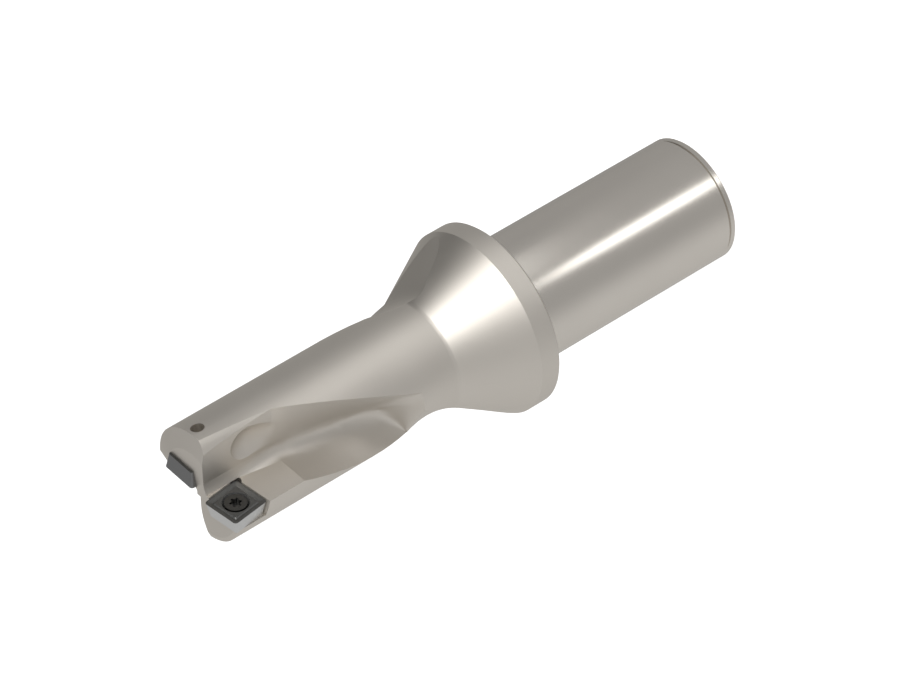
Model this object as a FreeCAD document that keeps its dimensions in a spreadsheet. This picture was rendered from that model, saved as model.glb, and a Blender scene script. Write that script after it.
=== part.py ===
"""Indexable drill, 30 mm: a turned and milled steel body with two screwed-in carbide inserts.

Frame: millimetres, origin at the centre of the shank's rear face, +Z along the axis to the tip.
+X is the side of the outer insert, whose cutting face looks towards +Y.
"""
import FreeCAD, Part
import math
import os

import Sketcher

os.makedirs("parts", exist_ok=True)

doc = FreeCAD.newDocument("IndexableDrill")
sheet = doc.addObject("Spreadsheet::Sheet", "sizes")


# Driving dimensions, in millimetres and degrees
SIZES = {
    "shank_diameter": 32,  # clamping shank
    "shank_length": 62,  # rear face to the flange's seat
    "lip_chamfer": 0.7,  # rear edge of the shank
    "groove_start": 1.0,  # ring groove, from the rear face
    "groove_width": 2.1,  # ring groove along the shank
    "groove_depth": 0.35,  # ring groove into the shank

    "flange_diameter": 47.2,  # rim of the flange
    "flange_thickness": 5.6,  # straight rim of the flange
    "flange_chamfer": 0.5,  # rear edge of the rim
    "cone_length": 17.2,  # rim to the fluted body
    "cone_blend": 2.0,  # concave blend of cone and body

    "body_diameter": 29,  # fluted body
    "reach": 65.3,  # end of the cone to the top of the front face
    "outer_face_drop": 0.8,  # how much lower the front face of the outer insert's side is
    "step_offset": 1.9,  # where that lower face begins, from the axis
    "front_flat_radius": 9.8,  # flat middle of the front face
    "front_fall": 1.05,  # fall of the front face from there to its rim

    "flute_lead": 216,  # length of one turn of the flutes
    "straight_length": 19.7,  # straight front stretch of the flutes
    "helix_length": 35.2,  # helical stretch behind it
    "wall_offset": 3.1,  # heel wall of a flute, from the axis
    "flute_fillet": 3.0,  # corner between rake side and heel wall
    "front_corner_width": 0.9,  # the same corner at the front: a steep facet
    "front_corner_height": 2.9,  # height of that facet
    "front_corner_radius": 8,  # its slight hollow
    "front_corner_length": 9,  # from the front face back to its narrow end
    "heel_radius": 5.2,  # soft roll of the heel wall into the land
    "heel_start": 10,  # where that roll begins, from the rake plane
    "heel_sweep": 75,  # angle of the roll's arc, degrees
    "heel_clear": 0.05,  # how far the roll starts clear of the wall
    "heel_length": 19.5,  # length of the roll, from the front face
    "heel_fade": 2.1,  # how far the roll has left the wall at its rear end

    "scoop_radius": 7.0,  # rounded front end of the chip space
    "scoop_depth": 1.65,  # how deep it bites into the heel wall
    "scoop_height": 8.2,  # its middle, above the rake plane
    "scoop_back": 12.5,  # its ball centre, behind the front face
    "scoop_tilt": 13,  # its slope into the wall, degrees
    "scoop_length": 6.4,  # straight stretch behind the ball

    "runout_floor": 12.73,  # flat floor of the flute's run-out, from the axis
    "runout_bend": 16.6,  # radius where the floor turns up the cone
    "runout_bend_start": 5.3,  # where it starts to turn up, behind the helical stretch
    "runout_slope": 32,  # floor on the cone, degrees
    "runout_width": 16,  # width of the cut that leaves it
    "runout_depth": 8,  # height of that cut
    "runout_twist": 2.2,  # turn of the run-out, degrees for each mm
    "runout_turn_length": 12.3,  # stretch over which it still turns
    "runout_lead_in": 1.0,  # overlap of the run-out with the helical stretch

    "insert_side": 10,  # square insert, across its cutting edges
    "insert_thickness": 3.97,  # insert thickness
    "insert_clearance": 11,  # slope of its flanks, degrees
    "insert_corner": 0.8,  # corner radius of the cutting edges
    "insert_corner_base": 0.5,  # corner radius of the insert's base
    "edge_land": 0.3,  # flat along the cutting edge
    "breaker_width": 0.95,  # sloping chip breaker inside it
    "breaker_depth": 0.3,  # depth of the chip breaker
    "breaker_rise": 0.25,  # width of the slope up to the raised middle
    "middle_drop": 0.06,  # raised middle below the cutting edge

    "head_recess_diameter": 6.4,  # mouth of the insert's screw hole
    "head_recess_depth": 1.2,  # straight part of that mouth
    "insert_hole_diameter": 4.4,  # screw hole of the insert
    "head_diameter": 5.3,  # head of the clamping screw
    "head_drop": 0.1,  # top of the head below the cutting edge
    "screw_diameter": 4.0,  # M4 clamping screw
    "screw_grip": 4.4,  # length of the screw in the drill body
    "screw_tip_chamfer": 0.5,  # end of the screw
    "thread_clearance": 0.02,  # between the screw and its hole, on the radius
    "hole_spare": 0.6,  # hole beyond the end of the screw
    "star_core_diameter": 2.1,  # round middle of the star recess
    "star_lobe_width": 0.62,  # each lobe of the star recess
    "star_lobe_reach": 1.5,  # end of a lobe, from the screw's axis
    "star_lobe_bevel": 0.18,  # corners of a lobe's end
    "star_depth": 1.3,  # depth of the star recess

    "outer_seat_x": 9.41,  # middle of the outer insert, from the axis
    "outer_seat_back": 4.07,  # middle of the outer insert, behind the front face
    "outer_seat_tilt": 7,  # turn of the outer insert in its face, degrees
    "inner_seat_x": 4.6,  # middle of the central insert, from the axis
    "inner_seat_back": 3.6,  # middle of the central insert, behind the front face
    "face_drop": 0.35,  # cutting faces below the plane through the axis
    "seat_gap": 0.03,  # gap between an insert's flanks and its pocket walls
    "corner_relief": 1.35,  # radius of the relief in the pocket's inner corner
    "gash_offset": 0.5,  # heel wall in front of the central insert, past the axis
    "gash_fillet": 1.2,  # corner of that gash
    "gash_straight": 6,  # its flat wall, from the rake plane
    "gash_radius": 14,  # arc of its wall out to the land
    "gash_length": 10.5,  # gash, from the front face

    "inlet_diameter": 12,  # coolant inlet in the shank
    "inlet_depth": 60,  # depth of the inlet
    "inlet_chamfer": 1.0,  # mouth of the inlet
    "channel_diameter": 2.8,  # coolant channel to each land
    "channel_start_radius": 3.0,  # start of the channel, from the axis
    "channel_start_angle": 85,  # and its direction, degrees
    "channel_end_radius": 11.2,  # end of the channel, from the axis
    "exit_angle": 100.8,  # direction of the coolant exit, degrees
    "exit_back": 3.5,  # middle of the exit, behind the front face
    "exit_diameter": 3.3,  # coolant exit in the land
    "exit_depth": 4.6,  # exit, from the land inwards

    "margin": 2,  # how far cuts run past the surfaces that they leave
}
for row, (alias, number) in enumerate(SIZES.items(), start=1):
    sheet.set(f"A{row}", alias)
    sheet.set(f"B{row}", str(number))
    sheet.setAlias(f"B{row}", alias)
doc.recompute()

# Lengths that follow from the driving dimensions
CONE_BASE = "(sizes.shank_length + sizes.flange_thickness)"
BODY_BASE = f"({CONE_BASE} + sizes.cone_length)"
FRONT = f"({BODY_BASE} + sizes.reach)"
TWIST_TOP = f"({FRONT} - sizes.straight_length)"
FLUTE_END = f"({TWIST_TOP} - sizes.helix_length)"
BODY_R = "(sizes.body_diameter / 2)"
SHANK_R = "(sizes.shank_diameter / 2)"
FLANGE_R = "(sizes.flange_diameter / 2)"
CUT_OUT = f"({BODY_R} + sizes.margin)"


def value(expression):
    """Work out an expression of the sheet as a plain number."""
    result = sheet.evalExpression(str(expression))
    return float(getattr(result, "Value", result))


# Helpers for bodies and sketches
def new_body(label):
    """One separate piece of the tool."""
    body = doc.addObject("PartDesign::Body", label)
    body.Label = label
    return body


def placement(x="0", y="0", z="0", *turns):
    """Expression of a placement; each turn is (axis, degrees), the last one made first."""
    axes = {"x": "vector(1; 0; 0)", "y": "vector(0; 1; 0)", "z": "vector(0; 0; 1)"}
    steps = [f"rotation({axes[axis]}; {angle})" for axis, angle in turns] or ["rotation(vector(0; 0; 1); 0)"]
    return f"placement(vector({x}; {y}; {z}); {' * '.join(steps)})"


def new_sketch(body, name, role, offset=None):
    """A sketch on one of the body's own origin planes."""
    sketch = body.newObject("Sketcher::SketchObject", name)
    plane = [item for item in body.Origin.OriginFeatures if item.Role == role][0]
    sketch.AttachmentSupport = [(plane, "")]
    sketch.MapMode = "FlatFace"
    if offset:
        sketch.setExpression("AttachmentOffset", offset)
    return sketch


def bind(sketch, kind, refs, expression):
    """Add a dimension to the sketch and tie it to the sheet."""
    index = sketch.addConstraint(Sketcher.Constraint(kind, *refs, value(expression)))
    sketch.setExpression(f"Constraints[{index}]", str(expression))


def arc_between(start, end, radius, side):
    """Short arc from start to end; side is 1 with its centre on the left, -1 on the right."""
    chord = end.sub(start)
    middle = start.add(end).multiply(0.5)
    left = FreeCAD.Vector(-chord.y, chord.x, 0).normalize()
    rise = math.sqrt(max(radius ** 2 - (chord.Length / 2) ** 2, 0))
    centre = middle.add(left * (rise * side))
    outward = middle.sub(centre)
    if outward.Length < 1e-9:
        outward = left * -side
    bulge = centre.add(outward.normalize() * radius)
    return Part.ArcOfCircle(start, bulge, end)


def outline(sketch, start, *steps):
    """Closed outline from start (x, y) through each step, back to start.

    A step is (x, y) for a straight line, or (x, y, radius, side) for an arc. The last step may be
    the start itself, where an arc closes the outline.
    """
    edges = list(steps)
    if edges[-1][:2] != start:
        edges.append(start)
    corners = [start] + [edge[:2] for edge in edges[:-1]]
    points = [FreeCAD.Vector(value(x), value(y), 0) for x, y in corners]
    loop = []
    for index, step in enumerate(edges):
        first = points[index]
        last = points[(index + 1) % len(points)]
        if len(step) == 4:
            edge = arc_between(first, last, value(step[2]), step[3])
            forward = step[3] > 0
        else:
            edge = Part.LineSegment(first, last)
            forward = True
        geo = sketch.addGeometry(edge)
        # A sketch keeps arcs anticlockwise, so one with its centre on the right runs backwards
        loop.append((geo, 1 if forward else 2, 2 if forward else 1))
        if len(step) == 4:
            bind(sketch, "Radius", (geo,), step[2])
    for index, (geo, _, last) in enumerate(loop):
        following = loop[(index + 1) % len(loop)]
        sketch.addConstraint(Sketcher.Constraint("Coincident", geo, last, following[0], following[1]))
    for (geo, first, _), (x, y) in zip(loop, corners):
        bind(sketch, "DistanceX", (-1, 1, geo, first), x)
        bind(sketch, "DistanceY", (-1, 1, geo, first), y)


def circle(sketch, x, y, radius):
    """A circle in the sketch, at (x, y)."""
    centre = FreeCAD.Vector(value(x), value(y), 0)
    geo = sketch.addGeometry(Part.Circle(centre, FreeCAD.Vector(0, 0, 1), value(radius)))
    bind(sketch, "Radius", (geo,), radius)
    bind(sketch, "DistanceX", (-1, 1, geo, 3), x)
    bind(sketch, "DistanceY", (-1, 1, geo, 3), y)


def pocket(body, name, sketch, length, ahead=False, taper="0"):
    """Cut the sketch into the body, ahead along its normal or back against it."""
    cut = body.newObject("PartDesign::Pocket", name)
    cut.Profile = sketch
    cut.Reversed = ahead
    cut.setExpression("Length", str(length))
    cut.setExpression("TaperAngle", str(taper))
    return cut


def groove(body, name, sketch, kind="PartDesign::Groove", axis="V_Axis"):
    """Turn the sketch about its own upright axis, to cut or to add."""
    turned = body.newObject(kind, name)
    turned.Profile = sketch
    turned.ReferenceAxis = (sketch, [axis])
    turned.Angle = 360
    return turned


def ring_edge(shape, radius, height):
    """Name of the round edge of that radius nearest to a height."""
    found = []
    for index, edge in enumerate(shape.Edges, 1):
        if isinstance(edge.Curve, Part.Circle) and abs(edge.Curve.Radius - radius) < 1e-4:
            found.append((abs(edge.Curve.Center.z - height), f"Edge{index}"))
    return min(found)[1]


# Drill body
def turned_blank(body):
    """Shank with its ring groove, flange, cone and front cylinder, all turned."""
    sketch = new_sketch(body, "turned_profile", "XZ_Plane")
    groove_r = f"{SHANK_R} - sizes.groove_depth"
    groove_end = "sizes.groove_start + sizes.groove_width"
    outline(
        sketch,
        ("0", "0"),
        (f"{SHANK_R} - sizes.lip_chamfer", "0"),
        (SHANK_R, "sizes.lip_chamfer"),
        (SHANK_R, "sizes.groove_start"),
        (groove_r, "sizes.groove_start + sizes.groove_depth"),
        (groove_r, f"{groove_end} - sizes.groove_depth"),
        (SHANK_R, groove_end),
        (SHANK_R, "sizes.shank_length"),
        (f"{FLANGE_R} - sizes.flange_chamfer", "sizes.shank_length"),
        (FLANGE_R, "sizes.shank_length + sizes.flange_chamfer"),
        (FLANGE_R, CONE_BASE),
        (BODY_R, BODY_BASE),
        (BODY_R, f"{FRONT} - sizes.front_fall"),
        ("sizes.front_flat_radius", FRONT),
        ("0", FRONT),
    )
    blank = groove(body, "turned_blank", sketch, "PartDesign::Revolution")
    doc.recompute()
    blend = body.newObject("PartDesign::Fillet", "cone_blend")
    blend.Base = (blank, [ring_edge(blank.Shape, value(BODY_R), value(BODY_BASE))])
    blend.setExpression("Radius", "sizes.cone_blend")


def flute_outline(sketch, corner_width, corner_height, corner_radius):
    """Section of a flute: rake side along x, heel wall along y, and the corner between them."""
    outline(
        sketch,
        (f"sizes.wall_offset + {corner_width}", "0"),
        (CUT_OUT, "0"),
        (CUT_OUT, CUT_OUT),
        ("sizes.wall_offset", CUT_OUT),
        ("sizes.wall_offset", corner_height),
        (f"sizes.wall_offset + {corner_width}", "0", corner_radius, 1),
    )


def helical_flute(body):
    """The helical stretch: the flute's section swept along the axis and turned by the lead."""
    turn = "-360 * sizes.helix_length / sizes.flute_lead"
    section = new_sketch(body, "flute_section", "XY_Plane", placement("0", "0", FLUTE_END, ("z", turn)))
    flute_outline(section, "sizes.flute_fillet", "sizes.flute_fillet", "sizes.flute_fillet")
    path = new_sketch(body, "flute_path", "XZ_Plane")
    foot = FreeCAD.Vector(0, value(FLUTE_END), 0)
    head = FreeCAD.Vector(0, value(TWIST_TOP), 0)
    line = path.addGeometry(Part.LineSegment(foot, head))
    path.addConstraint(Sketcher.Constraint("Vertical", line))
    path.addConstraint(Sketcher.Constraint("PointOnObject", line, 1, -2))
    bind(path, "DistanceY", (-1, 1, line, 1), FLUTE_END)
    bind(path, "DistanceY", (-1, 1, line, 2), TWIST_TOP)
    helix = doc.addObject("Part::Helix", "flute_lead_line")
    helix.setExpression("Pitch", "sizes.flute_lead")
    helix.setExpression("Height", "sizes.helix_length")
    helix.setExpression("Radius", BODY_R)
    helix.setExpression("Placement", placement("0", "0", FLUTE_END))
    doc.recompute()
    flute = body.newObject("PartDesign::SubtractivePipe", "helical_flute")
    flute.Profile = section
    flute.Spine = (path, ["Edge1"])
    flute.Mode = "Auxiliary"
    flute.AuxiliarySpine = (helix, ["Edge1"])
    flute.AuxiliaryCurvilinear = False
    return flute


def straight_flute(body):
    """The straight front stretch: the corner's fillet turns into a steep facet at the front."""
    fillet = ("sizes.flute_fillet", "sizes.flute_fillet", "sizes.flute_fillet")
    facet = ("sizes.front_corner_width", "sizes.front_corner_height", "sizes.front_corner_radius")
    stations = (
        (TWIST_TOP, fillet),
        (f"({FRONT} - sizes.front_corner_length)", facet),
        (f"({FRONT} + sizes.margin)", facet),
    )
    sections = []
    for number, (height, corner) in enumerate(stations, 1):
        sketch = new_sketch(body, f"straight_section_{number}", "XY_Plane", placement("0", "0", height))
        flute_outline(sketch, *corner)
        sections.append(sketch)
    doc.recompute()
    flute = body.newObject("PartDesign::SubtractiveLoft", "straight_flute")
    flute.Profile = sections[0]
    flute.Sections = sections[1:]
    flute.Ruled = True
    return flute


def heel_roll(body):
    """Soft roll of the heel wall into the land, fading out towards the rear."""
    roll_x = "sizes.wall_offset - sizes.heel_radius * (1 - cos(sizes.heel_sweep * 1deg))"
    roll_y = "sizes.heel_start + sizes.heel_radius * sin(sizes.heel_sweep * 1deg)"
    sections = []
    ends = ((f"{FRONT} + sizes.margin", "sizes.heel_clear"), (f"{FRONT} - sizes.heel_length", "sizes.heel_fade"))
    for number, (height, shift) in enumerate(ends, 1):
        sketch = new_sketch(body, f"heel_section_{number}", "XY_Plane", placement(shift, "0", height))
        outline(
            sketch,
            ("sizes.wall_offset", "sizes.heel_start"),
            ("sizes.wall_offset + sizes.margin", "sizes.heel_start"),
            ("sizes.wall_offset + sizes.margin", f"{CUT_OUT} + sizes.margin"),
            (roll_x, f"{CUT_OUT} + sizes.margin"),
            (roll_x, roll_y),
            ("sizes.wall_offset", "sizes.heel_start", "sizes.heel_radius", -1),
        )
        sections.append(sketch)
    doc.recompute()
    roll = body.newObject("PartDesign::SubtractiveLoft", "heel_roll")
    roll.Profile = sections[0]
    roll.Sections = sections[1:]
    roll.Ruled = True
    return roll


def chip_scoop(body):
    """Rounded front end of the chip space: a ball-nosed cut that slopes into the heel wall."""
    depth = "(sizes.wall_offset + sizes.scoop_radius - sizes.scoop_depth)"
    height = f"({FRONT} - sizes.scoop_back)"
    offset = placement(depth, height, "-sizes.scoop_height", ("z", "sizes.scoop_tilt"))
    sketch = new_sketch(body, "scoop_profile", "XZ_Plane", offset)
    outline(
        sketch,
        ("0", "-sizes.scoop_length"),
        ("sizes.scoop_radius", "-sizes.scoop_length"),
        ("sizes.scoop_radius", "0"),
        ("0", "sizes.scoop_radius", "sizes.scoop_radius", 1),
    )
    return groove(body, "chip_scoop", sketch)


def flute_runout(body, stations=8):
    """Shallow flat-floored run-out: it turns on with the helix, then leaves straight up the cone."""
    slope = "(sizes.runout_slope * 1deg)"
    bend_start = f"({FLUTE_END} - sizes.runout_bend_start)"
    bend_length = f"(sizes.runout_bend * sin{slope})"
    turn_end = f"({FLUTE_END} - sizes.runout_turn_length)"
    top = f"({FLUTE_END} + sizes.runout_lead_in)"
    half = "sizes.runout_width / 2"
    sections = []
    for number in range(stations + 1):
        height = f"({top} - ({top} - {CONE_BASE}) * {number} / {stations})"
        drop = f"max(0; {bend_start} - {height})"
        bend = f"(sizes.runout_bend - sqrt(sizes.runout_bend ^ 2 - min({drop}; {bend_length}) ^ 2))"
        climb = f"(max(0; {drop} - {bend_length}) * tan{slope})"
        floor = f"(sizes.runout_floor + {bend} + {climb})"
        rake_side = "(-360 * sizes.helix_length / sizes.flute_lead)"
        half_span = f"(acos(sizes.runout_floor / {BODY_R}) / 1deg)"
        turn = f"({rake_side} + {half_span} + sizes.runout_twist * (max({height}; {turn_end}) - {FLUTE_END}))"
        offset = placement("0", "0", height, ("z", turn))
        sketch = new_sketch(body, f"runout_section_{number}", "XY_Plane", offset)
        outline(
            sketch,
            (floor, f"-{half}"),
            (f"{floor} + sizes.runout_depth", f"-{half}"),
            (f"{floor} + sizes.runout_depth", half),
            (floor, half),
        )
        sections.append(sketch)
    doc.recompute()
    runout = body.newObject("PartDesign::SubtractiveLoft", "flute_runout")
    runout.Profile = sections[0]
    runout.Sections = sections[1:]
    return runout


def coolant_channel(body):
    """Straight channel from the inlet to the land, beside the flutes."""
    start = "(sizes.inlet_depth - sizes.margin)"
    end = f"({FRONT} - sizes.exit_back)"
    start_x = "(sizes.channel_start_radius * cos(sizes.channel_start_angle * 1deg))"
    start_y = "(sizes.channel_start_radius * sin(sizes.channel_start_angle * 1deg))"
    end_x = "(sizes.channel_end_radius * cos(sizes.exit_angle * 1deg))"
    end_y = "(sizes.channel_end_radius * sin(sizes.exit_angle * 1deg))"
    sketch = new_sketch(body, "channel_section", "XY_Plane", placement("0", "0", start))
    circle(sketch, start_x, start_y, "sizes.channel_diameter / 2")
    run = FreeCAD.Vector(
        value(f"{end_x} - {start_x}"), value(f"{end_y} - {start_y}"), value(f"{end} - {start}"))
    cut = pocket(body, "coolant_channel", sketch, f"{end} - {start}", ahead=True)
    cut.UseCustomVector = True
    cut.Direction = run
    cut.AlongSketchNormal = True
    return cut


def coolant_exit(body):
    """Round exit drilled into the land, down to the channel."""
    height = f"({FRONT} - sizes.exit_back)"
    turn = "(sizes.exit_angle + 90)"
    offset = placement(
        f"{BODY_R} * cos(sizes.exit_angle * 1deg)", "0",
        f"-{BODY_R} * sin(sizes.exit_angle * 1deg)", ("y", turn))
    sketch = new_sketch(body, "exit_section", "XZ_Plane", offset)
    circle(sketch, "0", height, "sizes.exit_diameter / 2")
    return pocket(body, "coolant_exit", sketch, "sizes.exit_depth")


def outer_front_face(body):
    """The lower, square front face on the outer insert's side."""
    sketch = new_sketch(body, "outer_front", "YZ_Plane")
    lower = f"{FRONT} - sizes.outer_face_drop"
    over = f"{FRONT} + sizes.margin"
    step = "-sizes.step_offset"
    outline(sketch, (step, lower), (step, over), (f"-{CUT_OUT}", over), (f"-{CUT_OUT}", lower))
    cut = pocket(body, "outer_front_face", sketch, f"{CUT_OUT} * 2")
    cut.Midplane = True


def central_gash(body):
    """Chip room in front of the central insert, which reaches past the axis."""
    start = f"{FRONT} - sizes.gash_length"
    sketch = new_sketch(body, "gash_section", "XY_Plane", placement("0", "0", start, ("z", "180")))
    bend = f"sqrt(sizes.gash_radius ^ 2 - ({CUT_OUT} - sizes.gash_straight) ^ 2)"
    outline(
        sketch,
        ("-sizes.gash_offset + sizes.gash_fillet", "0"),
        (CUT_OUT, "0"),
        (CUT_OUT, CUT_OUT),
        (f"-sizes.gash_offset - sizes.gash_radius + {bend}", CUT_OUT),
        ("-sizes.gash_offset", "sizes.gash_straight", "sizes.gash_radius", -1),
        ("-sizes.gash_offset", "sizes.gash_fillet"),
        ("-sizes.gash_offset + sizes.gash_fillet", "0", "sizes.gash_fillet", 1),
    )
    pocket(body, "central_gash", sketch, "sizes.gash_length + sizes.margin", ahead=True)


def insert_pocket(body, prefix, x, back, tilt, turned):
    """Pocket with a screw hole: floor and two walls that follow the insert's sloping flanks."""
    turns = (("y", "180"), ("z", f"-{tilt}")) if turned else (("z", f"-{tilt}"),)
    side = "-" if turned else ""
    height = f"({FRONT} - {back})"
    offset = placement(f"{side}{x}", height, "0", *turns)
    wall = "(sizes.insert_side / 2 + sizes.seat_gap + sizes.face_drop * tan(sizes.insert_clearance * 1deg))"
    far = "(sizes.insert_side * 1.5)"
    # The outer insert's pocket is open at the land, the central one has a wall on that side too
    end = wall if turned else far
    sketch = new_sketch(body, f"{prefix}_pocket_outline", "XZ_Plane", offset)
    outline(sketch, (f"-{wall}", f"-{wall}"), (end, f"-{wall}"), (end, far), (f"-{wall}", far))
    depth = "(sizes.face_drop + sizes.insert_thickness)"
    pocket(body, f"{prefix}_pocket", sketch, depth, ahead=True, taper="-sizes.insert_clearance")
    relief = new_sketch(body, f"{prefix}_relief_outline", "XZ_Plane", offset)
    circle(relief, f"-{wall} + sizes.corner_relief / 2", f"-{wall} + sizes.corner_relief / 2",
           "sizes.corner_relief")
    pocket(body, f"{prefix}_corner_relief", relief, depth, ahead=True)
    hole = new_sketch(body, f"{prefix}_hole_outline", "XZ_Plane", offset)
    circle(hole, "0", "0", "sizes.screw_diameter / 2 + sizes.thread_clearance")
    pocket(body, f"{prefix}_screw_hole", hole, f"{depth} + sizes.screw_grip + sizes.hole_spare", ahead=True)


def drill_body():
    """The steel body: turned, fluted, with pockets, screw holes and coolant ways."""
    body = new_body("drill_body")
    turned_blank(body)
    cuts = [helical_flute(body), straight_flute(body), heel_roll(body), chip_scoop(body), flute_runout(body)]
    cuts += [coolant_channel(body), coolant_exit(body)]
    doc.recompute()
    twice = body.newObject("PartDesign::PolarPattern", "second_side")
    twice.Originals = cuts
    axis = [item for item in body.Origin.OriginFeatures if item.Role == "Z_Axis"][0]
    twice.Axis = (axis, [""])
    twice.Angle = 360
    twice.Occurrences = 2
    body.Tip = twice
    doc.recompute()
    outer_front_face(body)
    central_gash(body)
    insert_pocket(body, "outer", "sizes.outer_seat_x", "sizes.outer_seat_back", "sizes.outer_seat_tilt", False)
    insert_pocket(body, "central", "sizes.inner_seat_x", "sizes.inner_seat_back", "0", True)
    inlet = new_sketch(body, "inlet_profile", "XZ_Plane")
    outline(
        inlet,
        ("0", "-sizes.margin"),
        ("sizes.inlet_diameter / 2 + sizes.inlet_chamfer + sizes.margin", "-sizes.margin"),
        ("sizes.inlet_diameter / 2", "sizes.inlet_chamfer"),
        ("sizes.inlet_diameter / 2", "sizes.inlet_depth"),
        ("0", "sizes.inlet_depth"),
    )
    groove(body, "coolant_inlet", inlet)
    return body


# Inserts and screws
def rounded_square(sketch, side, radius):
    """Square outline about the sketch's origin, with round corners."""
    far = f"({side} / 2)"
    near = f"({side} / 2 - {radius})"
    outline(
        sketch,
        (far, f"-{near}"),
        (far, near),
        (near, far, radius, 1),
        (f"-{near}", far),
        (f"-{far}", near, radius, 1),
        (f"-{far}", f"-{near}"),
        (f"-{near}", f"-{far}", radius, 1),
        (near, f"-{far}"),
        (far, f"-{near}", radius, 1),
    )


def square_frustum(body, name, kind, ends):
    """Add or cut between rounded squares, each given as (height, side, corner radius)."""
    sections = []
    for number, (height, side, radius) in enumerate(ends, 1):
        sketch = new_sketch(body, f"{name}_{number}", "XY_Plane", placement("0", "0", height))
        rounded_square(sketch, side, radius)
        sections.append(sketch)
    doc.recompute()
    loft = body.newObject(kind, name)
    loft.Profile = sections[0]
    loft.Sections = sections[1:]
    loft.Ruled = True
    return loft


def seat_placement(x, back, tilt, turned):
    """Middle of an insert's cutting face, with +Z out of the face and +X away from the axis."""
    side = "-" if turned else ""
    drop = "sizes.face_drop" if turned else "-sizes.face_drop"
    turns = (("z", "180"),) if turned else ()
    return placement(f"{side}{x}", drop, f"{FRONT} - {back}", *turns, ("y", tilt), ("x", "-90"))


def insert(label, seat):
    """Square carbide insert: sloping flanks, chip breaker, raised middle and screw hole."""
    body = new_body(label)
    base_side = "(sizes.insert_side - 2 * sizes.insert_thickness * tan(sizes.insert_clearance * 1deg))"
    square_frustum(body, "flanks", "PartDesign::AdditiveLoft", (
        ("0", "sizes.insert_side", "sizes.insert_corner"),
        ("-sizes.insert_thickness", base_side, "sizes.insert_corner_base")))
    breaker_side = "(sizes.insert_side - 2 * sizes.edge_land)"
    floor_side = f"({breaker_side} - 2 * sizes.breaker_width)"
    floor_corner = "(sizes.insert_corner / 2)"
    square_frustum(body, "chip_breaker", "PartDesign::SubtractiveLoft", (
        ("0", breaker_side, "sizes.insert_corner"),
        ("-sizes.breaker_depth", floor_side, floor_corner)))
    middle_side = f"({floor_side} - 2 * sizes.breaker_rise)"
    square_frustum(body, "raised_middle", "PartDesign::AdditiveLoft", (
        ("-sizes.breaker_depth", floor_side, floor_corner),
        ("-sizes.middle_drop", middle_side, floor_corner)))
    mouth_r = "(sizes.head_recess_diameter / 2)"
    hole_r = "(sizes.insert_hole_diameter / 2)"
    hole = new_sketch(body, "hole_profile", "XZ_Plane")
    outline(
        hole,
        ("0", "sizes.margin"),
        (mouth_r, "sizes.margin"),
        (mouth_r, "-sizes.head_recess_depth"),
        (hole_r, f"-sizes.head_recess_depth - {mouth_r} + {hole_r}"),
        (hole_r, "-sizes.insert_thickness - sizes.margin"),
        ("0", "-sizes.insert_thickness - sizes.margin"),
    )
    groove(body, "screw_hole", hole)
    body.setExpression("Placement", seat)
    return body


def clamping_screw(label, seat):
    """Countersunk screw with a star recess; its cone seats in the insert's hole."""
    body = new_body(label)
    mouth_r = "(sizes.head_recess_diameter / 2)"
    head_r = "(sizes.head_diameter / 2)"
    screw_r = "(sizes.screw_diameter / 2)"
    cone_top = f"(-sizes.head_recess_depth - {mouth_r} + {head_r})"
    end = "(-sizes.insert_thickness - sizes.screw_grip)"
    profile = new_sketch(body, "screw_profile", "XZ_Plane")
    outline(
        profile,
        ("0", "-sizes.head_drop"),
        ("0", end),
        (f"{screw_r} - sizes.screw_tip_chamfer", end),
        (screw_r, f"{end} + sizes.screw_tip_chamfer"),
        (screw_r, f"{cone_top} - {head_r} + {screw_r}"),
        (head_r, cone_top),
        (head_r, "-sizes.head_drop"),
    )
    groove(body, "turned_screw", profile, "PartDesign::Revolution")
    core = new_sketch(body, "star_core_outline", "XY_Plane", placement("0", "0", "-sizes.head_drop"))
    circle(core, "0", "0", "sizes.star_core_diameter / 2")
    pocket(body, "star_core", core, "sizes.star_depth")
    lobe = new_sketch(body, "star_lobe_outline", "XY_Plane", placement("0", "0", "-sizes.head_drop"))
    half = "sizes.star_lobe_width / 2"
    outline(
        lobe,
        ("0", f"-{half}"),
        ("sizes.star_lobe_reach - sizes.star_lobe_bevel", f"-{half}"),
        ("sizes.star_lobe_reach", f"-{half} + sizes.star_lobe_bevel"),
        ("sizes.star_lobe_reach", f"{half} - sizes.star_lobe_bevel"),
        ("sizes.star_lobe_reach - sizes.star_lobe_bevel", half),
        ("0", half),
    )
    cut = pocket(body, "star_lobe", lobe, "sizes.star_depth")
    doc.recompute()
    star = body.newObject("PartDesign::PolarPattern", "star_lobes")
    star.Originals = [cut]
    star.Axis = ([item for item in body.Origin.OriginFeatures if item.Role == "Z_Axis"][0], [""])
    star.Angle = 360
    star.Occurrences = 6
    body.Tip = star
    body.setExpression("Placement", seat)
    return body


outer_seat = seat_placement("sizes.outer_seat_x", "sizes.outer_seat_back", "sizes.outer_seat_tilt", False)
central_seat = seat_placement("sizes.inner_seat_x", "sizes.inner_seat_back", "0", True)

pieces = [
    drill_body(),
    insert("outer_insert", outer_seat),
    clamping_screw("outer_insert_screw", outer_seat),
    insert("central_insert", central_seat),
    clamping_screw("central_insert_screw", central_seat),
]
doc.recompute()

# Nothing is written unless the whole document is sound
for item in doc.Objects:
    if "Invalid" in item.State or "Error" in item.State:
        raise SystemExit(f"{item.Name} failed: {item.State}")
for piece in pieces:
    if piece.Shape.isNull() or not piece.Shape.isValid() or len(piece.Shape.Solids) != 1:
        raise SystemExit(f"{piece.Label} isn't one valid solid")

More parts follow.
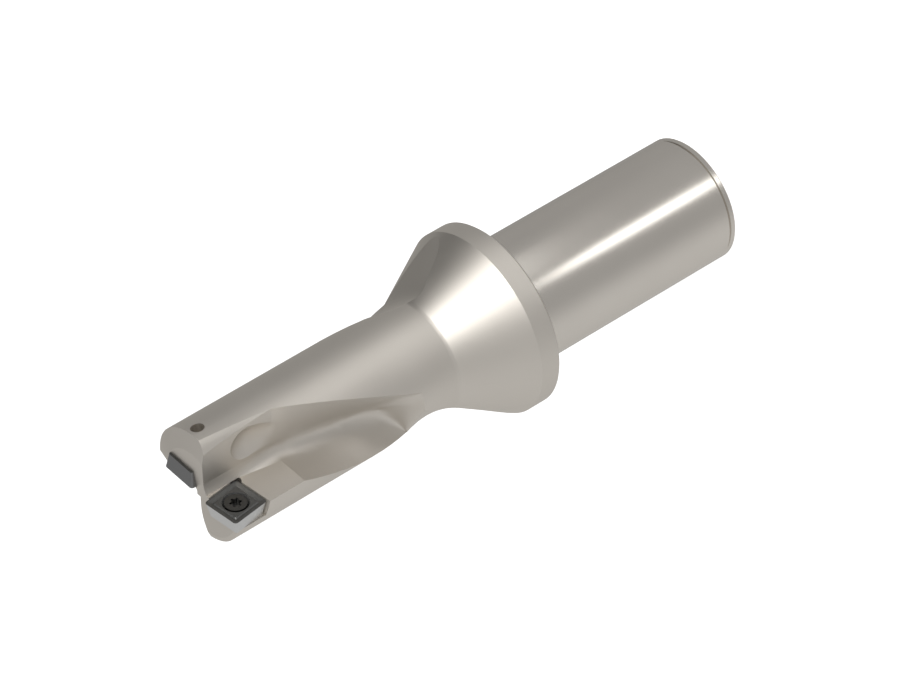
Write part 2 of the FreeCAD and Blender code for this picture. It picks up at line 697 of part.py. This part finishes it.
for piece in pieces:
    piece.Shape.exportStep(os.path.join("parts", f"{piece.Label}.step"))
    box = piece.Shape.BoundBox
    print(piece.Label, round(piece.Shape.Volume, 1), "mm3,", round(box.ZMin, 2), "to", round(box.ZMax, 2))
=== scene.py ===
"""Indexable drill: finished flutes, materials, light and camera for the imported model.

Metres, in the model's own frame: the middle of the shank's rear face is the origin, +Z runs along
the axis to the tip, and +X points to the outer insert.
"""
import math

import bmesh
import bpy
from mathutils import Matrix, Vector


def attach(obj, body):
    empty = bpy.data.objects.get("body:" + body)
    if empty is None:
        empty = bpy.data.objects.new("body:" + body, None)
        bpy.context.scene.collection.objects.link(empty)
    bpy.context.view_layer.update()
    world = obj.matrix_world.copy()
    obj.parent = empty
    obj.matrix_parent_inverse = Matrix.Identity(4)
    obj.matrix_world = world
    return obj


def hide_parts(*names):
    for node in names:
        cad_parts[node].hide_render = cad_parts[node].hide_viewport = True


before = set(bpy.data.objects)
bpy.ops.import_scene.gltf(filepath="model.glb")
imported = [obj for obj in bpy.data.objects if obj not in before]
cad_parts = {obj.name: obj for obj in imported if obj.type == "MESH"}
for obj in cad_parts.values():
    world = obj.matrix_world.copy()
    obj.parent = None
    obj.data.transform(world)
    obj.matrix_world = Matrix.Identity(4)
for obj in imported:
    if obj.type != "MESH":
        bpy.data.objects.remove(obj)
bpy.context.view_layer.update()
bpy.ops.object.select_all(action="DESELECT")

MM = 0.001

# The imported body's own sizes
SHANK_TOP = 62 * MM
FLUTE_END = 95.2 * MM
FLUTE_LEAD = 216 * MM
TWIST_TOP = 130.4 * MM
BODY_R = 14.5 * MM
LIP_R = 13.7 * MM
SCOOP_TOP = 144 * MM
SCOOP_MIDDLE = 136.8 * MM
SCOOP_HEIGHT = 8.2 * MM
SCOOP_FOOT = 3 * MM

# Finding the flutes' faces and the scoops' sharp rims, and the marks that the faces get
FIT = 0.002 * MM
LAND_R = BODY_R - 0.06 * MM
SEAT_FACING = 0.9
RIM_START = 0.5 * MM
RIM_ANGLE = math.radians(8)
SHARP_ANGLE = math.radians(35)
IN_FLUTE = 1
AT_END = 2

# Splitting the flutes' faces
FINE_EDGE = 0.9 * MM
REFINE_ROUNDS = 8

# Run-out behind each flute: an arc of this radius and depth, which fades over this length
RUN_OUT_R = 10.5 * MM
RUN_OUT_DEPTH = 10.5 * MM
RUN_OUT_LENGTH = 32 * MM

# Blending the flutes' walls: the rounds, a round's step towards the neighbours, how much the walls and the
# scoops' feet give way, and over which lengths that changes
BLEND_ROUNDS = 300
BLEND_STEP = 0.5
WALL_SHARE = 0.25
FOOT_SHARE = 0.08
RUN_OUT_BLEND = 103 * MM
BLEND_FADE = 3 * MM
WALL_FADE = 3 * BLEND_FADE
MIDDLE_FADE = BLEND_FADE / 2
RIM_FADE = BLEND_FADE / 3

# The shank's rear rim, ring by ring from the rear face over the chamfer and the groove to the plain shank:
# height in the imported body, drawn height and drawn radius, in millimetres
END_RINGS = (
    (0, 0, 15.7),
    (0.7, 0.3, 16),
    (1.0, 1.4, 16),
    (1.35, 1.6, 15.6),
    (2.75, 1.8, 15.6),
    (3.1, 2.0, 16),
)
# The rim's points lie below this height and outside this radius
END_HEIGHT = 3.2 * MM
END_R = 15 * MM

# Camera as fitted to the photograph: place, line of sight, the picture's upward side and the lens
CAMERA_PLACE = (0.5633, 0.6835, 0.539668)
CAMERA_FORWARD = (-0.5634, -0.6834, -0.4642)
CAMERA_UP = (-0.5177, 0.7300, -0.4463)
FOCAL_LENGTH = 172.28
SENSOR_WIDTH = 36
NEAREST = 0.05
FARTHEST = 20

# Soft panels: azimuth, elevation, distance, width, height, brightness, and the height they aim at
LARGE_PANEL = (77, 31, 0.6, 0.46, 0.42, 4.2, 0.07)
LOW_PANEL = (90, -27, 0.19, 0.13, 0.075, 0.7, 0.1)
STREAK_PANEL = (54, -27, 0.125, 0.026, 0.055, 2.6, 0.024)

# Room that the metal mirrors: a direction (azimuth, elevation), how nearly a ray has to look that way
# for the change to start and end, and the brightness before and after it
BRIGHT_SIDE = ((-70, 0), (0.1, 0.75), (0.465, 0.71))
DARK_CORNER = ((146, 18), (0.68, 0.9), (1, 0.15))
WHITE = (1, 1, 1, 1)

# Floor: its width, its place below the shank's end, its own tone and its glow for the camera
FLOOR_SIZE = 6
FLOOR_DROP = 0.2 * MM
FLOOR_TONE = (0.8, 0.8, 0.8, 1)
FLOOR_GLOW = 0.75

# Surface detail: the noise of grain, patches and rings, and how deep the relief is
GRAIN_DETAIL = 3
PATCHES_PER_METRE = 60
PATCH_DETAIL = 4
RING_STRETCH = (0.004, 0.004, 1)
RING_DETAIL = 2
STEEL_RELIEF = 0.004 * MM
DARK_RELIEF = 0.003 * MM
RELIEF_SHARE = 0.5

# Tones and roughness: each pair is the finish's lowest and highest value
STEEL_TONES = ((0.632, 0.595, 0.543), (0.682, 0.645, 0.591))
STEEL_GLANCE = (0.8, 0.79, 0.77, 1)
GROUND_ROUGHNESS = (0.23, 0.27)
SATIN_ROUGHNESS = (0.45, 0.51)
GROUND_EDGE = 0.1 * MM
COAT_METAL = 0.85
COAT_TONES = ((0.104, 0.104, 0.1), (0.128, 0.128, 0.124))
COAT_ROUGHNESS = (0.34, 0.46)
COAT_FACING = (0.6, 0.75)
GROUND_FLANK = (0.55, 0.55, 0.54)
DARK_FLANK = (0.2, 0.2, 0.2)
SCREW_TONES = ((0.085, 0.085, 0.082), (0.12, 0.118, 0.114))
SCREW_ROUGHNESS = (0.28, 0.42)


def direction(azimuth, elevation):
    """Unit vector at a compass angle from +X and a height above the horizon, in degrees."""
    turn = math.radians(azimuth)
    rise = math.radians(elevation)
    return Vector((math.cos(turn) * math.cos(rise), math.sin(turn) * math.cos(rise), math.sin(rise)))


# Shader parts
def math_node(tree, operation, first, second=None):
    """A Math node; each input is a number or a socket."""
    node = tree.nodes.new("ShaderNodeMath")
    node.operation = operation
    for index, item in enumerate((first, second)):
        if item is None:
            continue
        if isinstance(item, (int, float)):
            node.inputs[index].default_value = item
        else:
            tree.links.new(item, node.inputs[index])
    return node.outputs[0]


def step_between(tree, source, reach, levels=(0, 1)):
    """The first level below reach and the second above it, with a soft step between."""
    node = tree.nodes.new("ShaderNodeMapRange")
    node.interpolation_type = "SMOOTHSTEP"
    node.inputs["From Min"].default_value = reach[0]
    node.inputs["From Max"].default_value = reach[1]
    node.inputs["To Min"].default_value = levels[0]
    node.inputs["To Max"].default_value = levels[1]
    tree.links.new(source, node.inputs["Value"])
    return node.outputs["Result"]


def colour_between(tree, factor, low, high):
    """Colour that goes from low to high with the factor; each is a colour or a socket."""
    node = tree.nodes.new("ShaderNodeMix")
    node.data_type = "RGBA"
    tree.links.new(factor, node.inputs["Factor"])
    for name, tone in (("A", low), ("B", high)):
        socket = [item for item in node.inputs if item.name == name and item.type == "RGBA"][0]
        if isinstance(tone, tuple):
            socket.default_value = (*tone, 1)
        else:
            tree.links.new(tone, socket)
    return [item for item in node.outputs if item.type == "RGBA"][0]


def value_between(tree, factor, low, high):
    """Number that goes from low to high with the factor; each is a number or a socket."""
    node = tree.nodes.new("ShaderNodeMix")
    node.data_type = "FLOAT"
    tree.links.new(factor, node.inputs[0])
    for index, item in ((2, low), (3, high)):
        if isinstance(item, (int, float)):
            node.inputs[index].default_value = item
        else:
            tree.links.new(item, node.inputs[index])
    return node.outputs[0]


# Camera, room and light
def set_camera():
    """The photograph's view: from above the outer insert's side, rolled so that the drill lies along it."""
    forward = Vector(CAMERA_FORWARD).normalized()
    right = forward.cross(Vector(CAMERA_UP)).normalized()
    up = right.cross(forward)
    lens = bpy.data.cameras.new("camera")
    lens.sensor_width = SENSOR_WIDTH
    lens.lens = FOCAL_LENGTH
    lens.clip_start = NEAREST
    lens.clip_end = FARTHEST
    camera = bpy.data.objects.new("camera", lens)
    bpy.context.scene.collection.objects.link(camera)
    turn = Matrix((right, up, -forward)).transposed().to_4x4()
    camera.matrix_world = Matrix.Translation(CAMERA_PLACE) @ turn
    bpy.context.scene.camera = camera


def soft_lamp(name, azimuth, elevation, distance, width, height, radiance, aim):
    """A plain soft panel that faces the axis at the height aim; radiance 1 is as bright as white paper."""
    panel = bpy.data.lights.new(name, "AREA")
    panel.shape = "RECTANGLE"
    panel.size = width
    panel.size_y = height
    panel.energy = radiance * math.pi * width * height
    lamp = bpy.data.objects.new(name, panel)
    bpy.context.scene.collection.objects.link(lamp)
    away = direction(azimuth, elevation)
    lamp.rotation_mode = "QUATERNION"
    lamp.rotation_quaternion = away.to_track_quat("Z", "Y")
    lamp.location = Vector((0, 0, aim)) + away * distance
    lamp.visible_camera = False


def set_lights():
    """A large panel beside the camera, a dim one below it, and a narrow one for the shank's streak."""
    soft_lamp("large_panel", *LARGE_PANEL)
    soft_lamp("low_panel", *LOW_PANEL)
    soft_lamp("streak_panel", *STREAK_PANEL)


def room_level(tree, where, towards, reach, levels):
    """Brightness that changes from the first level to the second as a ray turns towards one direction."""
    nearness = tree.nodes.new("ShaderNodeVectorMath")
    nearness.operation = "DOT_PRODUCT"
    nearness.inputs[1].default_value = direction(*towards)
    tree.links.new(where.outputs["Generated"], nearness.inputs[0])
    return step_between(tree, nearness.outputs["Value"], reach, levels)


def set_world():
    """White to the camera; the metal sees a pale room, brighter on one side, with one dark corner."""
    world = bpy.data.worlds.new("pale_room")
    bpy.context.scene.world = world
    world.use_nodes = True
    tree = world.node_tree
    tree.nodes.clear()
    out = tree.nodes.new("ShaderNodeOutputWorld")
    mix = tree.nodes.new("ShaderNodeMixShader")
    rays = tree.nodes.new("ShaderNodeLightPath")
    white = tree.nodes.new("ShaderNodeBackground")
    white.inputs["Color"].default_value = WHITE
    room = tree.nodes.new("ShaderNodeBackground")
    where = tree.nodes.new("ShaderNodeTexCoord")
    level = math_node(tree, "MULTIPLY", room_level(tree, where, *BRIGHT_SIDE),
                      room_level(tree, where, *DARK_CORNER))
    tree.links.new(level, room.inputs["Color"])
    tree.links.new(rays.outputs["Is Camera Ray"], mix.inputs["Fac"])
    tree.links.new(room.outputs[0], mix.inputs[1])
    tree.links.new(white.outputs[0], mix.inputs[2])
    tree.links.new(mix.outputs[0], out.inputs["Surface"])


def set_floor():
    """Pale floor under the shank's end: it keeps the drill's soft shadow, and glows only for the camera."""
    bpy.ops.mesh.primitive_plane_add(size=FLOOR_SIZE, location=(0, 0, -FLOOR_DROP))
    floor = bpy.context.active_object
    floor.name = "floor"
    paint = bpy.data.materials.new("pale_floor")
    paint.use_nodes = True
    tree = paint.node_tree
    tree.nodes.clear()
    out = tree.nodes.new("ShaderNodeOutputMaterial")
    add = tree.nodes.new("ShaderNodeAddShader")
    matt = tree.nodes.new("ShaderNodeBsdfDiffuse")
    matt.inputs["Color"].default_value = FLOOR_TONE
    glow = tree.nodes.new("ShaderNodeEmission")
    rays = tree.nodes.new("ShaderNodeLightPath")
    level = math_node(tree, "MULTIPLY", rays.outputs["Is Camera Ray"], FLOOR_GLOW)
    tree.links.new(level, glow.inputs["Strength"])
    tree.links.new(matt.outputs[0], add.inputs[0])
    tree.links.new(glow.outputs[0], add.inputs[1])
    tree.links.new(add.outputs[0], out.inputs["Surface"])
    floor.data.materials.append(paint)
    # The metal looks through the floor into the pale room below, as over a light table
    floor.visible_glossy = False
    floor.visible_shadow = False


# The body's flutes and its rear rim
def smooth_share(value, low, high):
    """0 below low and 1 above high, with a soft step between."""
    share = min(1, max(0, (value - low) / (high - low)))
    return share * share * (3 - 2 * share)


def flute_faces(work):
    """The walls of both flutes: inside the body's round, over the flutes' length, and no insert seat."""
    found = []
    for face in work.faces:
        middle = face.calc_center_median()
        heights = [vert.co.z for vert in face.verts]
        if min(heights) < FLUTE_END - FIT or max(heights) > SCOOP_TOP:
            continue
        reach = LAND_R if middle.z < TWIST_TOP else LIP_R
        seat = abs(face.normal.y) > SEAT_FACING and middle.z > TWIST_TOP
        if math.hypot(middle.x, middle.y) > reach or seat:
            continue
        found.append(face)
    return found


def crisp_edges(faces):
    """The front and outer rim of each scoop, which stays a sharp line."""
    inside = set(faces)
    found = []
    for edge in {edge for face in faces for edge in face.edges}:
        if len(edge.link_faces) != 2 or not inside.issuperset(edge.link_faces):
            continue
        middle = (edge.verts[0].co + edge.verts[1].co) / 2
        rim = middle.z > TWIST_TOP + RIM_START and edge.calc_face_angle() > RIM_ANGLE
        if rim and (middle.z > SCOOP_MIDDLE or abs(middle.y) > SCOOP_HEIGHT):
            found.append(edge)
    return found


def marked_faces(work):
    """The faces that are marked as the flutes' own, also after they were split."""
    part = work.faces.layers.int["flute"]
    return [face for face in work.faces if face[part] == IN_FLUTE]


def refine(work):
    """Split the flutes' faces until no edge is longer than the fine one."""
    for _ in range(REFINE_ROUNDS):
        edges = {edge for face in marked_faces(work) for edge in face.edges}
        long_edges = [edge for edge in edges if edge.calc_length() > FINE_EDGE]
        if not long_edges:
            break
        bmesh.ops.subdivide_edges(work, edges=long_edges, cuts=1)
        bmesh.ops.triangulate(work, faces=[face for face in work.faces if len(face.verts) > 3])


def drop_strays(work):
    """Delete the flat slivers that a split can leave back to back on the same three points."""
    work.verts.index_update()
    sharing = {}
    for face in work.faces:
        sharing.setdefault(frozenset(vert.index for vert in face.verts), []).append(face)
    stray = [face for same in sharing.values() if len(same) > 1 for face in same]
    bmesh.ops.delete(work, geom=stray, context="FACES")


def slide_forward(vert):
    """Move a point of the flute ahead along the helix: far at the core, not at all at the surface."""
    height = vert.co.z - FLUTE_END
    if height > RUN_OUT_LENGTH:
        return
    depth = max(0, BODY_R - math.hypot(vert.co.x, vert.co.y))
    above_floor = max(0, RUN_OUT_DEPTH - depth)
    whole = math.sqrt(2 * RUN_OUT_R * RUN_OUT_DEPTH - RUN_OUT_DEPTH ** 2)
    ahead = whole - math.sqrt(2 * RUN_OUT_R * above_floor - above_floor ** 2)
    ahead *= (1 - height / RUN_OUT_LENGTH) ** 2
    turn = 2 * math.pi * ahead / FLUTE_LEAD
    vert.co = Matrix.Rotation(turn, 3, "Z") @ vert.co + Vector((0, 0, ahead))


def blend_share(point):
    """How much a point gives way: most at the run-out, least at the scoop's foot, not at all at a seat."""
    behind = 1 - (1 - WALL_SHARE) * smooth_share(point.z, RUN_OUT_BLEND, RUN_OUT_BLEND + WALL_FADE)
    behind *= 1 - smooth_share(point.z, TWIST_TOP - BLEND_FADE, TWIST_TOP)
    height = abs(point.y)
    foot = smooth_share(height, SCOOP_FOOT, SCOOP_FOOT + BLEND_FADE)
    foot *= 1 - smooth_share(height, SCOOP_HEIGHT - RIM_FADE, SCOOP_HEIGHT + RIM_FADE)
    foot *= 1 - smooth_share(point.z, SCOOP_MIDDLE - RIM_FADE, SCOOP_MIDDLE + MIDDLE_FADE)
    foot *= smooth_share(point.z, TWIST_TOP - 2 * BLEND_FADE, TWIST_TOP - BLEND_FADE)
    return max(behind, FOOT_SHARE * foot)


def blend_walls(work):
    """Round the flutes' corners and the scoops' feet into wide soft hollows; the lips stay in place."""
    faces = marked_faces(work)
    inside = set(faces)
    rim = work.edges.layers.int["rim"]
    free = [vert for vert in {vert for face in faces for vert in face.verts}
            if inside.issuperset(vert.link_faces) and not any(edge[rim] for edge in vert.link_edges)]
    share = {vert: blend_share(vert.co) for vert in free}
    strength = {vert: part * BLEND_STEP for vert, part in share.items() if part > 0}
    around = {vert: [edge.other_vert(vert) for edge in vert.link_edges] for vert in strength}
    for _ in range(BLEND_ROUNDS):
        aim = {}
        for vert, part in strength.items():
            middle = sum((other.co for other in around[vert]), Vector()) / len(around[vert])
            aim[vert] = vert.co.lerp(middle, part)
        for vert, place in aim.items():
            vert.co = place


def sharpen_end(work):
    """Draw the shank's rear rim with a narrow groove and a small chamfer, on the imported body's rings."""
    part = work.faces.layers.int["flute"]
    rim = [vert for vert in work.verts
           if vert.co.z < END_HEIGHT and math.hypot(vert.co.x, vert.co.y) > END_R]
    for face in {face for vert in rim for face in vert.link_faces}:
        if max(vert.co.z for vert in face.verts) < END_HEIGHT and abs(face.normal.z) < SEAT_FACING:
            face[part] = AT_END
    for vert in rim:
        _, height, radius = min(END_RINGS, key=lambda ring: abs(ring[0] * MM - vert.co.z))
        scale = radius * MM / math.hypot(vert.co.x, vert.co.y)
        vert.co = Vector((vert.co.x * scale, vert.co.y * scale, height * MM))


def reshape(mesh):
    """Finish the flutes and the rear rim of the body's mesh, and mark which faces that concerns."""
    work = bmesh.new()
    work.from_mesh(mesh)
    part = work.faces.layers.int.new("flute")
    rim = work.edges.layers.int.new("rim")
    bmesh.ops.remove_doubles(work, verts=work.verts, dist=FIT)
    faces = flute_faces(work)
    for face in faces:
        face[part] = IN_FLUTE
    for edge in crisp_edges(faces):
        edge[rim] = 1
    sharpen_end(work)
    refine(work)
    drop_strays(work)
    for vert in {vert for face in marked_faces(work) for vert in face.verts}:
        slide_forward(vert)
    blend_walls(work)
    for edge in work.edges:
        edge.smooth = not edge[rim] and len(edge.link_faces) == 2 and edge.calc_face_angle() < SHARP_ANGLE
    work.to_mesh(mesh)
    work.free()
    mesh.update()


def shade(mesh):
    """Smooth shading by angle on the marked faces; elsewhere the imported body's own true normals."""
    if "custom_normal" in mesh.attributes:
        mesh.attributes.remove(mesh.attributes["custom_normal"])
    for face in mesh.polygons:
        face.use_smooth = True
    smooth = [item.vector.copy() for item in mesh.corner_normals]
    true = mesh.attributes["true_normal"].data
    part = mesh.attributes["flute"].data
    final = []
    for face in mesh.polygons:
        for corner in face.loop_indices:
            normal = smooth[corner] if part[face.index].value else Vector(true[corner].vector)
            final.append(normal.normalized())
    mesh.normals_split_custom_set(final)


def finished_body():
    """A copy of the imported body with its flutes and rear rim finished, shown in place of it."""
    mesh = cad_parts["drill_body"].data.copy()
    body = bpy.data.objects.new("drill_body_finished", mesh)
    bpy.context.scene.collection.objects.link(body)
    true = mesh.attributes.new("true_normal", "FLOAT_VECTOR", "CORNER")
    true.data.foreach_set("vector", [part for item in mesh.corner_normals for part in item.vector])
    reshape(mesh)
    shade(mesh)
    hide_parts("drill_body")
    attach(body, "root")
    return body


# Shared surface effects
def new_group(name, inputs, outputs):
    """Empty node group with named inputs and outputs, each a pair of name and kind."""
    group = bpy.data.node_groups.new(name, "ShaderNodeTree")
    for label, kind in inputs:
        group.interface.new_socket(label, in_out="INPUT", socket_type=kind)
    for label, kind in outputs:
        group.interface.new_socket(label, in_out="OUTPUT", socket_type=kind)
    return group, group.nodes.new("NodeGroupInput"), group.nodes.new("NodeGroupOutput")


def grain_group():
    """Fine even grain of blasted and plated metal, and slow patches beside it."""
    group, start, end = new_group(
        "plated_grain",
        [("Coordinates", "NodeSocketVector"), ("Grains per metre", "NodeSocketFloat")],
        [("Grain", "NodeSocketFloat"), ("Patches", "NodeSocketFloat")],
    )
    fine = group.nodes.new("ShaderNodeTexNoise")
    fine.inputs["Detail"].default_value = GRAIN_DETAIL
    slow = group.nodes.new("ShaderNodeTexNoise")
    slow.inputs["Scale"].default_value = PATCHES_PER_METRE
    slow.inputs["Detail"].default_value = PATCH_DETAIL
    group.links.new(start.outputs["Coordinates"], fine.inputs["Vector"])
    group.links.new(start.outputs["Grains per metre"], fine.inputs["Scale"])
    group.links.new(start.outputs["Coordinates"], slow.inputs["Vector"])
    group.links.new(fine.outputs["Fac"], end.inputs["Grain"])
    group.links.new(slow.outputs["Fac"], end.inputs["Patches"])
    return group


def turning_group():
    """Fine rings left by turning and grinding, which run round the drill's axis."""
    group, start, end = new_group(
        "turning_rings",
        [("Coordinates", "NodeSocketVector"), ("Rings per metre", "NodeSocketFloat")],
        [("Rings", "NodeSocketFloat")],
    )
    stretch = group.nodes.new("ShaderNodeVectorMath")
    stretch.operation = "MULTIPLY"
    stretch.inputs[1].default_value = RING_STRETCH
    rings = group.nodes.new("ShaderNodeTexNoise")
    rings.inputs["Detail"].default_value = RING_DETAIL
    group.links.new(start.outputs["Coordinates"], stretch.inputs[0])
    group.links.new(stretch.outputs[0], rings.inputs["Vector"])
    group.links.new(start.outputs["Rings per metre"], rings.inputs["Scale"])
    group.links.new(rings.outputs["Fac"], end.inputs["Rings"])
    return group


def place_group(tree, group, coordinates, **values):
    """Put a shared effect into a material, with its own values."""
    node = tree.nodes.new("ShaderNodeGroup")
    node.node_tree = group
    tree.links.new(coordinates, node.inputs["Coordinates"])
    for label, number in values.items():
        node.inputs[label.replace("_", " ")].default_value = number
    return node


def new_metal(name, metallic=1):
    """Material with one metal shader; gives its tree, the shader, and the object's coordinates."""
    material = bpy.data.materials.new(name)
    material.use_nodes = True
    tree = material.node_tree
    shader = tree.nodes["Principled BSDF"]
    shader.inputs["Metallic"].default_value = metallic
    coordinates = tree.nodes.new("ShaderNodeTexCoord")
    return material, tree, shader, coordinates


def bump(tree, shader, height, depth):
    """Relief of that depth, in metres, on the shader's normal."""
    node = tree.nodes.new("ShaderNodeBump")
    node.inputs["Strength"].default_value = 1
    node.inputs["Distance"].default_value = depth
    tree.links.new(height, node.inputs["Height"])
    tree.links.new(node.outputs["Normal"], shader.inputs["Normal"])


# Finishes
def nickel_steel(grain, turning):
    """Drill body: warm satin nickel plate, with a finer ground shank."""
    material, tree, shader, where = new_metal("nickel_plated_steel")
    place = where.outputs["Object"]
    specks = place_group(tree, grain, place, Grains_per_metre=2600)
    rings = place_group(tree, turning, place, Rings_per_metre=9000)
    patches = specks.outputs["Patches"]
    split = tree.nodes.new("ShaderNodeSeparateXYZ")
    tree.links.new(place, split.inputs[0])
    fluted = step_between(tree, split.outputs["Z"], (SHANK_TOP - GROUND_EDGE, SHANK_TOP + GROUND_EDGE))
    tree.links.new(colour_between(tree, patches, *STEEL_TONES), shader.inputs["Base Color"])
    shader.inputs["Specular Tint"].default_value = STEEL_GLANCE
    ground = value_between(tree, patches, *GROUND_ROUGHNESS)
    satin = value_between(tree, patches, *SATIN_ROUGHNESS)
    tree.links.new(value_between(tree, fluted, ground, satin), shader.inputs["Roughness"])
    turned = math_node(tree, "MULTIPLY", rings.outputs["Rings"], RELIEF_SHARE)
    blasted = math_node(tree, "MULTIPLY", specks.outputs["Grain"], RELIEF_SHARE)
    bump(tree, shader, math_node(tree, "ADD", turned, blasted), STEEL_RELIEF)
    return material


def coated_carbide(name, grain, flank):
    """Insert: dark coated face and chip breaker; the flanks have their own tone."""
    material, tree, shader, where = new_metal(name, COAT_METAL)
    specks = place_group(tree, grain, where.outputs["Object"], Grains_per_metre=6000)
    patches = specks.outputs["Patches"]
    look = tree.nodes.new("ShaderNodeSeparateXYZ")
    tree.links.new(where.outputs["Normal"], look.inputs[0])
    face = step_between(tree, math_node(tree, "ABSOLUTE", look.outputs["Y"]), COAT_FACING)
    coat = colour_between(tree, patches, *COAT_TONES)
    tree.links.new(colour_between(tree, face, flank, coat), shader.inputs["Base Color"])
    tree.links.new(value_between(tree, patches, *COAT_ROUGHNESS), shader.inputs["Roughness"])
    bump(tree, shader, specks.outputs["Grain"], DARK_RELIEF)
    return material


def screw_steel(grain):
    """Clamping screws: dark oiled steel."""
    material, tree, shader, where = new_metal("dark_screw_steel")
    specks = place_group(tree, grain, where.outputs["Object"], Grains_per_metre=5000)
    tone = colour_between(tree, specks.outputs["Patches"], *SCREW_TONES)
    tree.links.new(tone, shader.inputs["Base Color"])
    roughness = value_between(tree, specks.outputs["Grain"], *SCREW_ROUGHNESS)
    tree.links.new(roughness, shader.inputs["Roughness"])
    bump(tree, shader, specks.outputs["Grain"], DARK_RELIEF)
    return material


def dress(piece, material):
    """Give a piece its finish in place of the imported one."""
    for slot in piece.material_slots:
        slot.material = material


def finish_pieces():
    """Each of the drill's pieces in its own finish."""
    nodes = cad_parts
    grain = grain_group()
    dress(finished_body(), nickel_steel(grain, turning_group()))
    dress(nodes["outer_insert"], coated_carbide("coated_carbide_pale_flanks", grain, GROUND_FLANK))
    dress(nodes["central_insert"], coated_carbide("coated_carbide", grain, DARK_FLANK))
    screws = screw_steel(grain)
    dress(nodes["outer_insert_screw"], screws)
    dress(nodes["central_insert_screw"], screws)


set_camera()
set_world()
set_floor()
set_lights()
finish_pieces()
bpy.context.scene.view_settings.view_transform = "Standard"
